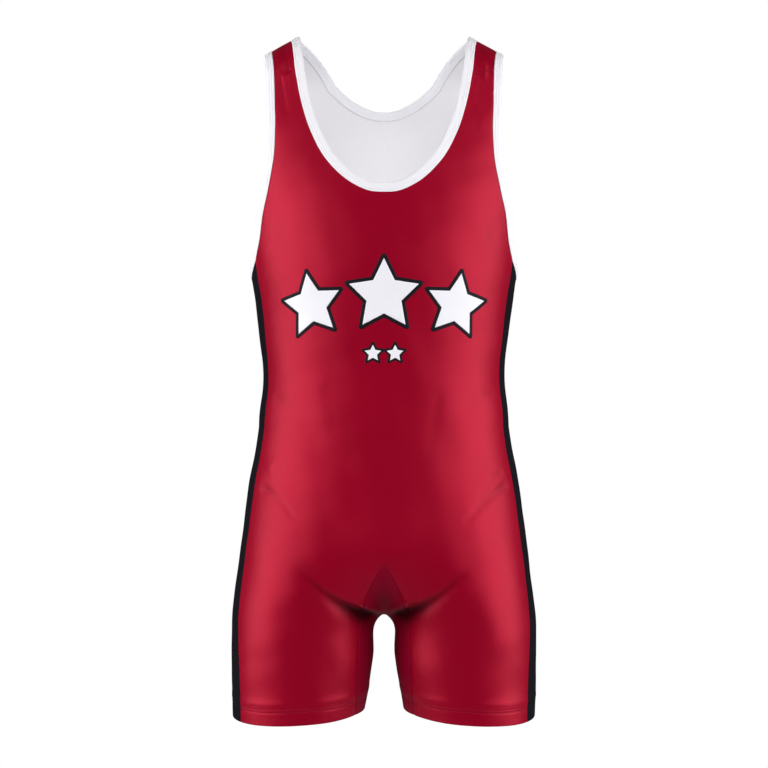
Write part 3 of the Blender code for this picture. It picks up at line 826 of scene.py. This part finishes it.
def hem_lines(grid):
    """Lines across a panel at the heights of the hem's stitches, a little above the dips that they lie in."""
    out = normals(grid)
    height = hem_heights(grid)
    lift = WALL + relief(grid, out) + hem_rise(height) - NEEDLE_DIP + THREAD_LIFT
    surface = grid + lift[..., None] * out

    def crossing(line, column):
        return [np.interp(-line, -height[:, column], surface[:, column, axis]) for axis in range(3)]

    columns = range(1, len(grid[0]) - 1)
    return [np.array([crossing(line, column) for column in columns]) for line in NEEDLE_LINES]


# --- Materials ---
# Noises: wide patches in the colour, slubs in the yarn, and lumps in the knit, in features for each metre.
WANDER_SCALE, SLUB_SCALE, LUMP_SCALE = 9.0, 420.0, 160.0
NOISE_LOW, NOISE_HIGH = 0.3, 0.7  # most of a noise is between these
WANDER_TONE, SLUB_TONE, KNIT_TONE = 0.55, 0.45, -0.35  # what each adds to the colour's depth
SLUB_SMOOTHER, SLUB_ROUGHER = 0.03, 0.04
KNIT_BUMP, GRAIN_BUMP, LUMP_SHARE = 0.0002, 0.0001, 0.6
COURSE_PITCH, COURSE_SHARE = 0.8, 0.35  # the knit's rows, beside its columns
LOOP_HEIGHT = 0.35  # keeps the loops between 0 and 1
SHEEN_ROUGHNESS = 0.4


class Nodes:
    """Short calls for building a material."""

    def __init__(self, name):
        self.material = bpy.data.materials.new(name)
        self.material.use_nodes = True
        self.tree = self.material.node_tree
        self.shader = self.tree.nodes["Principled BSDF"]

    def add(self, kind, *values, settings=(), **inputs):
        node = self.tree.nodes.new(kind)
        for key, value in dict(settings).items():
            setattr(node, key, value)
        return self.set(node, *values, **inputs)

    def set(self, node, *values, **inputs):
        """Feeds a node's sockets in their order, or by name with _ for a space."""
        for number, value in enumerate(values):
            self.feed(node, number, value)
        for key, value in inputs.items():
            self.feed(node, key.replace("_", " "), value)
        return node

    def feed(self, node, socket, value):
        if isinstance(value, bpy.types.NodeSocket):
            self.tree.links.new(value, node.inputs[socket])
        else:
            node.inputs[socket].default_value = value

    def math(self, operation, *values):
        return self.add("ShaderNodeMath", *values, settings={"operation": operation}).outputs[0]

    def mix(self, share, first, second):
        node = self.add("ShaderNodeMix", settings={"data_type": "RGBA"})
        for socket, value in ((0, share), (6, first), (7, second)):
            self.feed(node, socket, value)
        return node.outputs[2]

    def ramp(self, value, low, high, to_low, to_high):
        return self.add("ShaderNodeMapRange", value, low, high, to_low, to_high).outputs[0]

    def noise(self, vector, scale):
        return self.add("ShaderNodeTexNoise", Vector=vector, Scale=scale).outputs["Fac"]


def knit(nodes, pitch):
    """A fine knit's height as columns of loops, and the painted shade of folds and seams, both from 0 to 1.
    """
    place = nodes.add("ShaderNodeAttribute", settings={"attribute_name": "cloth"}).outputs["Vector"]
    split = nodes.add("ShaderNodeSeparateXYZ", Vector=place)
    across, along = split.outputs["X"], split.outputs["Y"]
    wale = nodes.math("SINE", nodes.math("MULTIPLY", across, 2 * math.pi / pitch))
    course = nodes.math("SINE", nodes.math("MULTIPLY", along, 2 * math.pi / (pitch * COURSE_PITCH)))
    loops = nodes.math("MULTIPLY_ADD", course, COURSE_SHARE, wale)
    height = nodes.math("MULTIPLY_ADD", loops, LOOP_HEIGHT, 0.5)
    return height, split.outputs["Z"]


def cloth_material(name, look):
    """Knitted cloth: a colour that wanders a little, painted shade that darkens it in folds and seams, a fine
    knit, and a soft gloss from its yarn.
    """
    nodes = Nodes(name)
    # `fold` is the painted shade of folds and seams
    height, fold = knit(nodes, look.pitch)
    where = nodes.add("ShaderNodeTexCoord").outputs["Object"]
    wander = nodes.noise(where, WANDER_SCALE)
    slub = nodes.noise(where, SLUB_SCALE)
    tone = nodes.math("MULTIPLY_ADD", slub, SLUB_TONE, nodes.math("MULTIPLY", wander, WANDER_TONE))
    tone = nodes.math("MULTIPLY_ADD", nodes.math("SUBTRACT", height, 0.5), KNIT_TONE, tone)
    tone = nodes.ramp(tone, NOISE_LOW, NOISE_HIGH, 0.0, 1.0)
    colours = nodes.mix(tone, (*look.colour, 1), (*look.deep, 1))
    # painted shade: the colour is mixed towards black in folds and beside seams
    colours = nodes.mix(nodes.math("MULTIPLY", fold, FOLD_PAINTED_SHADE), colours, (0, 0, 0, 1))
    smooth, rough = look.roughness - SLUB_SMOOTHER, look.roughness + SLUB_ROUGHER
    roughness = nodes.ramp(slub, NOISE_LOW, NOISE_HIGH, smooth, rough)
    lumps = nodes.math("MULTIPLY_ADD", nodes.noise(where, LUMP_SCALE), LUMP_SHARE, height)
    bump = nodes.add("ShaderNodeBump", Height=lumps, Strength=look.bump, Distance=KNIT_BUMP)
    nodes.set(
        nodes.shader,
        Base_Color=colours,
        Metallic=look.metallic,
        Roughness=roughness,
        Specular_IOR_Level=look.specular,
        Specular_Tint=(*look.gloss_tint, 1),
        Sheen_Weight=look.sheen,
        Sheen_Roughness=SHEEN_ROUGHNESS,
        Sheen_Tint=(*look.gloss_tint, 1),
        Normal=bump.outputs[0],
    )
    return nodes.material


def grained_material(name, colour, deep, grain, specular=0.5):
    """A colour and a roughness that vary with a fine grain: a thread's twist, or the knit under a film."""
    nodes = Nodes(name)
    height = nodes.noise(nodes.add("ShaderNodeTexCoord").outputs["Object"], grain.scale)
    bump = nodes.add("ShaderNodeBump", Height=height, Strength=grain.bump, Distance=GRAIN_BUMP)
    roughness = nodes.ramp(height, grain.low, grain.high, grain.smooth, grain.rough)
    colours = nodes.mix(height, (*colour, 1), (*deep, 1))
    nodes.set(nodes.shader, Base_Color=colours, Roughness=roughness, Specular_IOR_Level=specular)
    nodes.set(nodes.shader, Normal=bump.outputs[0])
    return nodes.material


Knit = namedtuple("Knit", "colour deep roughness metallic pitch bump sheen gloss_tint specular")
RED_GLOSS, WHITE_GLOSS = (0.86, 0.55, 0.61), (1.0, 1.0, 1.0)
KNITS = {
    "red_satin_knit": Knit(
        (0.35, 0.0005, 0.019), (0.30, 0.0004, 0.016), 0.34, 0.24, 0.0009, 0.25, 0.0, RED_GLOSS, 0.20
    ),
    # the gusset's red is a darker, duller copy of the satin's: painted shade, as the gusset faces down and
    # inwards
    "shaded_red_gusset_knit": Knit(
        (0.27, 0.0006, 0.020), (0.23, 0.0005, 0.017), 0.50, 0.10, 0.0009, 0.28, 0.0, RED_GLOSS, 0.10
    ),
    "black_knit": Knit(
        (0.007, 0.006, 0.009), (0.004, 0.004, 0.006), 0.60, 0.0, 0.0011, 0.30, 0.0, (0.8, 0.8, 1.0), 0.06
    ),
    "pale_inside_knit": Knit(
        (0.82, 0.80, 0.83), (0.76, 0.75, 0.78), 0.75, 0.0, 0.0009, 0.3, 0.1, WHITE_GLOSS, 0.3
    ),
    "white_binding_knit": Knit(
        (0.86, 0.85, 0.89), (0.81, 0.80, 0.85), 0.6, 0.0, 0.0012, 0.35, 0.1, WHITE_GLOSS, 0.3
    ),
}
knits = {name: cloth_material(name, look) for name, look in KNITS.items()}

Grain = namedtuple("Grain", "scale low high smooth rough bump")
TWIST = Grain(1400.0, 0.2, 0.8, 0.45, 0.65, 0.3)
FILM = Grain(700.0, 0.3, 0.7, 0.55, 0.68, 0.2)
white_thread = grained_material("white_thread", (0.90, 0.89, 0.92), (0.72, 0.71, 0.75), TWIST)
red_thread = grained_material("red_thread", (0.30, 0.004, 0.016), (0.20, 0.002, 0.010), TWIST)
black_thread = grained_material("black_thread", (0.012, 0.011, 0.014), (0.006, 0.006, 0.007), TWIST)
white_print = grained_material("white_print", (0.88, 0.87, 0.92), (0.83, 0.82, 0.88), FILM, 0.4)
black_print = grained_material("black_print", (0.006, 0.005, 0.009), (0.009, 0.007, 0.012), FILM, 0.12)


# --- The print ---
def star_radius(turn, outer, grow):
    """How far a five-pointed star's outline, moved out by `grow`, is from its centre in a direction."""
    step = math.pi / 5
    inner = outer * STAR_WAIST
    fold = np.abs((turn + step) % (2 * step) - step)
    tip, waist = np.array((outer, 0)), inner * np.array((math.cos(step), math.sin(step)))
    edge = waist - tip
    outwards = np.array((-edge[1], edge[0])) / np.hypot(*edge)
    outwards *= np.sign(outwards @ tip)
    reach = outwards @ tip + grow
    edge_reach = reach / (outwards[0] * np.cos(fold) + outwards[1] * np.sin(fold))
    return np.minimum(edge_reach, outer + TIP_GROWTH * grow)


def along_chest(start, distance, z):
    """The x of points at some distances along the cloth from x = `start`, round the front at a height."""
    x = spread(-CHEST_REACH, CHEST_REACH, CHEST_STEPS)
    reach = lengths_along(straight_out(x, z, FRONT))
    return np.interp(np.interp(start, x, reach) + distance, reach, x)


def star(name, spot, grow, rise, film):
    """A star of thin film that lies on the front, over the cloth's own relief."""
    turn = np.linspace(0, 2 * math.pi, STAR_DIRECTIONS, endpoint=False)
    radius = spread(0, 1, STAR_RINGS)[1:, None] * star_radius(turn, spot.radius, grow)
    lean = turn + math.pi / 2 + math.radians(spot.turn)
    x = np.append(along_chest(spot.x, radius * np.cos(lean), spot.z), spot.x)
    z = np.append(spot.z + radius * np.sin(lean), spot.z)
    on_figure = straight_out(x, z, FRONT)
    out = normals(on_figure)
    points = on_figure + (WALL + relief(on_figure, out) + rise)[:, None] * out
    index = np.arange(STAR_RINGS * STAR_DIRECTIONS).reshape(STAR_RINGS, STAR_DIRECTIONS)
    index = np.concatenate((index, index[:, :1]), axis=1)
    middle = len(points) - 1
    inner_faces = [[middle, int(a), int(b)] for a, b in zip(index[0], index[0, 1:])]
    piece = add_piece(name, points, quads(index).tolist() + inner_faces, (film,))
    clean_up(piece.data)
    face_outwards(piece.data)
    add_wall(piece, PRINT_THICKNESS)
    return piece


# --- The singlet ---
front_grid = with_edge_rows(body_grid(FRONT, COLUMNS["front"]))
rear_grid = back_grid(COLUMNS["back"])
flank_grid = side_grid(COLUMNS["side"])
inner_grid = gusset_grid(COLUMNS["gusset"])

BODY_SEAMS, LEG_SEAMS = ("top", "first", "last"), ("first", "last")
Panel = namedtuple("Panel", "grid mirror seams outside slot thread")
red, shaded_gusset_red, black = knits["red_satin_knit"], knits["shaded_red_gusset_knit"], knits["black_knit"]
PANELS = {
    "front_panel": Panel(front_grid, True, BODY_SEAMS, red, "red_cloth", red_thread),
    "back_panel": Panel(rear_grid, True, BODY_SEAMS, red, "red_cloth", red_thread),
    "inner_leg_gusset": Panel(inner_grid, True, LEG_SEAMS, shaded_gusset_red, "gusset_cloth", red_thread),
    "side_panel_left": Panel(flank_grid, False, LEG_SEAMS, black, "black_cloth", black_thread),
    "side_panel_right": Panel(mirrored(flank_grid), False, LEG_SEAMS, black, "black_cloth", black_thread),
}
cloth_pieces = {node: panel(node, spec, knits["pale_inside_knit"]) for node, spec in PANELS.items()}

front_neck = front_grid[: EDGE_ROWS + NECK_ROWS[FRONT] + 1, 0]
front_armhole = front_grid[: EDGE_ROWS + ARMHOLE_ROWS + 1, -1]
back_neck = rear_grid[: EDGE_ROWS + STRAP_ROWS + NECK_ROWS[BACK] + 1, 0]
back_armhole = rear_grid[: EDGE_ROWS + STRAP_ROWS + ARMHOLE_ROWS + 1, -1]
half_neck = np.concatenate((front_neck[:0:-1], back_neck))
neck = np.concatenate((half_neck, mirrored(half_neck)[-2:0:-1]))
arm = np.concatenate((front_armhole[:0:-1], back_armhole[:-1], flank_grid[0, :0:-1]))

attached = {}  # what is sewn or printed on each piece
for node, edge, opening in (
    ("neck_binding", neck, NECK_OPENING),
    ("armhole_binding_left", arm, ARM_OPENING),
    ("armhole_binding_right", mirrored(arm), mirrored(ARM_OPENING)),
):
    cloth_pieces[node], stitching = binding(node, edge, opening, knits["white_binding_knit"], white_thread)
    attached[node] = [stitching]

for node, spec in PANELS.items():
    seams = [line for half in halves(spec) for line in hem_lines(half)]
    attached[node] = [stitches(f"thread_{node}", seams, spec.thread)]

for number, spot in enumerate(STARS, 1):
    attached["front_panel"] += [
        star(f"print_outline_{number}", spot, spot.outline, PRINT_RISE, black_print),
        star(f"print_star_{number}", spot, 0, PRINT_RISE * 2, white_print),
    ]

# The columns of a piece's flat cut: its width, length and area. Worn, the panels are about 9% wider than
# their cut and 3% longer, and the bindings 5% longer.
Cut = namedtuple("Cut", "width length area")

# --- Camera, floor and light ---
CAMERA_DISTANCE, CAMERA_Z, VIEW_WIDTH = 2.0, -0.414, 0.937
SENSOR_WIDTH = 36  # mm

camera_data = bpy.data.cameras.new("camera")
camera_data.sensor_width = SENSOR_WIDTH
camera_data.lens = SENSOR_WIDTH * CAMERA_DISTANCE / VIEW_WIDTH
camera = add_object("camera", camera_data)
camera.location = (0, -CAMERA_DISTANCE, CAMERA_Z)
camera.rotation_euler = (math.pi / 2, 0, 0)
bpy.context.scene.camera = camera

LIT_MIDDLE = Vector((0, 0, -0.42))
LAMP_SPREAD = math.radians(140)
Softbox = namedtuple("Softbox", "name azimuth elevation distance width height power in_gloss")
SOFTBOXES = (
    Softbox("softbox_left", -67, 4, 1.6, 1.6, 1.7, 21.5, True),
    Softbox("softbox_right", 67, 4, 1.6, 1.6, 1.7, 21.5, True),
    Softbox("waist_left", -33, 2, 1.8, 0.5, 0.5, 1.1, True),
    Softbox("waist_right", 33, 2, 1.8, 0.5, 0.5, 1.1, True),
    Softbox("front_fill", 0, 58, 1.8, 1.3, 0.7, 4.5, True),
    Softbox("back_fill", 180, 30, 1.8, 1.5, 0.9, 12, False),
)


def add_softbox(spec):
    """A rectangular light that looks at the part; azimuth 0 is in front."""
    light = bpy.data.lights.new(spec.name, "AREA")
    light.shape = "RECTANGLE"
    light.size, light.size_y = spec.width, spec.height
    light.energy = spec.power
    light.spread = LAMP_SPREAD
    lamp = add_object(spec.name, light)
    lamp.visible_glossy = spec.in_gloss
    turn, rise = math.radians(spec.azimuth), math.radians(spec.elevation)
    away = Vector((math.sin(turn) * math.cos(rise), -math.cos(turn) * math.cos(rise), math.sin(rise)))
    lamp.location = LIT_MIDDLE + away * spec.distance
    lamp.rotation_euler = away.to_track_quat("Z", "Y").to_euler()


for spec in SOFTBOXES:
    add_softbox(spec)

# The studio is white to the camera, and dim to the part, which is lit by its softboxes.
STUDIO_WHITE, STUDIO_FILL = 1.0, 0.06
world = bpy.data.worlds.new("studio")
world.use_nodes = True
world_nodes = world.node_tree.nodes
strength = world_nodes.new("ShaderNodeMapRange")
strength.inputs["To Min"].default_value = STUDIO_FILL
strength.inputs["To Max"].default_value = STUDIO_WHITE
seen = world_nodes.new("ShaderNodeLightPath").outputs["Is Camera Ray"]
world.node_tree.links.new(seen, strength.inputs["Value"])
world.node_tree.links.new(strength.outputs["Result"], world_nodes["Background"].inputs["Strength"])
world_nodes["Background"].inputs["Color"].default_value = (1, 1, 1, 1)
bpy.context.scene.world = world
bpy.context.scene.view_settings.view_transform = "Standard"

# The floor is a white light table, which also glows for the camera more than for the part.
FLOOR_RADIUS, FLOOR_SIDES, FLOOR_DROP = 0.75, 128, 0.30  # the drop is from the gusset's lowest point
FLOOR_WHITE, FLOOR_FILL = 0.85, 0.02
FLOOR_TONES = (0.42, 0.42, 0.43, 1), (0.40, 0.40, 0.41, 1)
FLOOR_SPOTS, FLOOR_ROUGHNESS = 3.0, 0.9
floor_nodes = Nodes("studio_floor")
floor_place = floor_nodes.add("ShaderNodeTexCoord").outputs["Object"]
floor_colour = floor_nodes.mix(floor_nodes.noise(floor_place, FLOOR_SPOTS), *FLOOR_TONES)
seen = floor_nodes.add("ShaderNodeLightPath").outputs["Is Camera Ray"]
glow = floor_nodes.ramp(seen, 0.0, 1.0, FLOOR_FILL, FLOOR_WHITE)
floor_nodes.set(floor_nodes.shader, Base_Color=floor_colour, Roughness=FLOOR_ROUGHNESS)
floor_nodes.set(floor_nodes.shader, Emission_Color=(1, 1, 1, 1), Emission_Strength=glow)
floor_mesh = bpy.data.meshes.new("studio_floor")
floor_shape = bmesh.new()
bmesh.ops.create_circle(floor_shape, cap_ends=True, radius=FLOOR_RADIUS, segments=FLOOR_SIDES)
floor_shape.to_mesh(floor_mesh)
floor_shape.free()
floor_mesh.materials.append(floor_nodes.material)
floor = add_object("studio_floor", floor_mesh)
floor.location.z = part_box("inner_leg_gusset")[0][2] - FLOOR_DROP
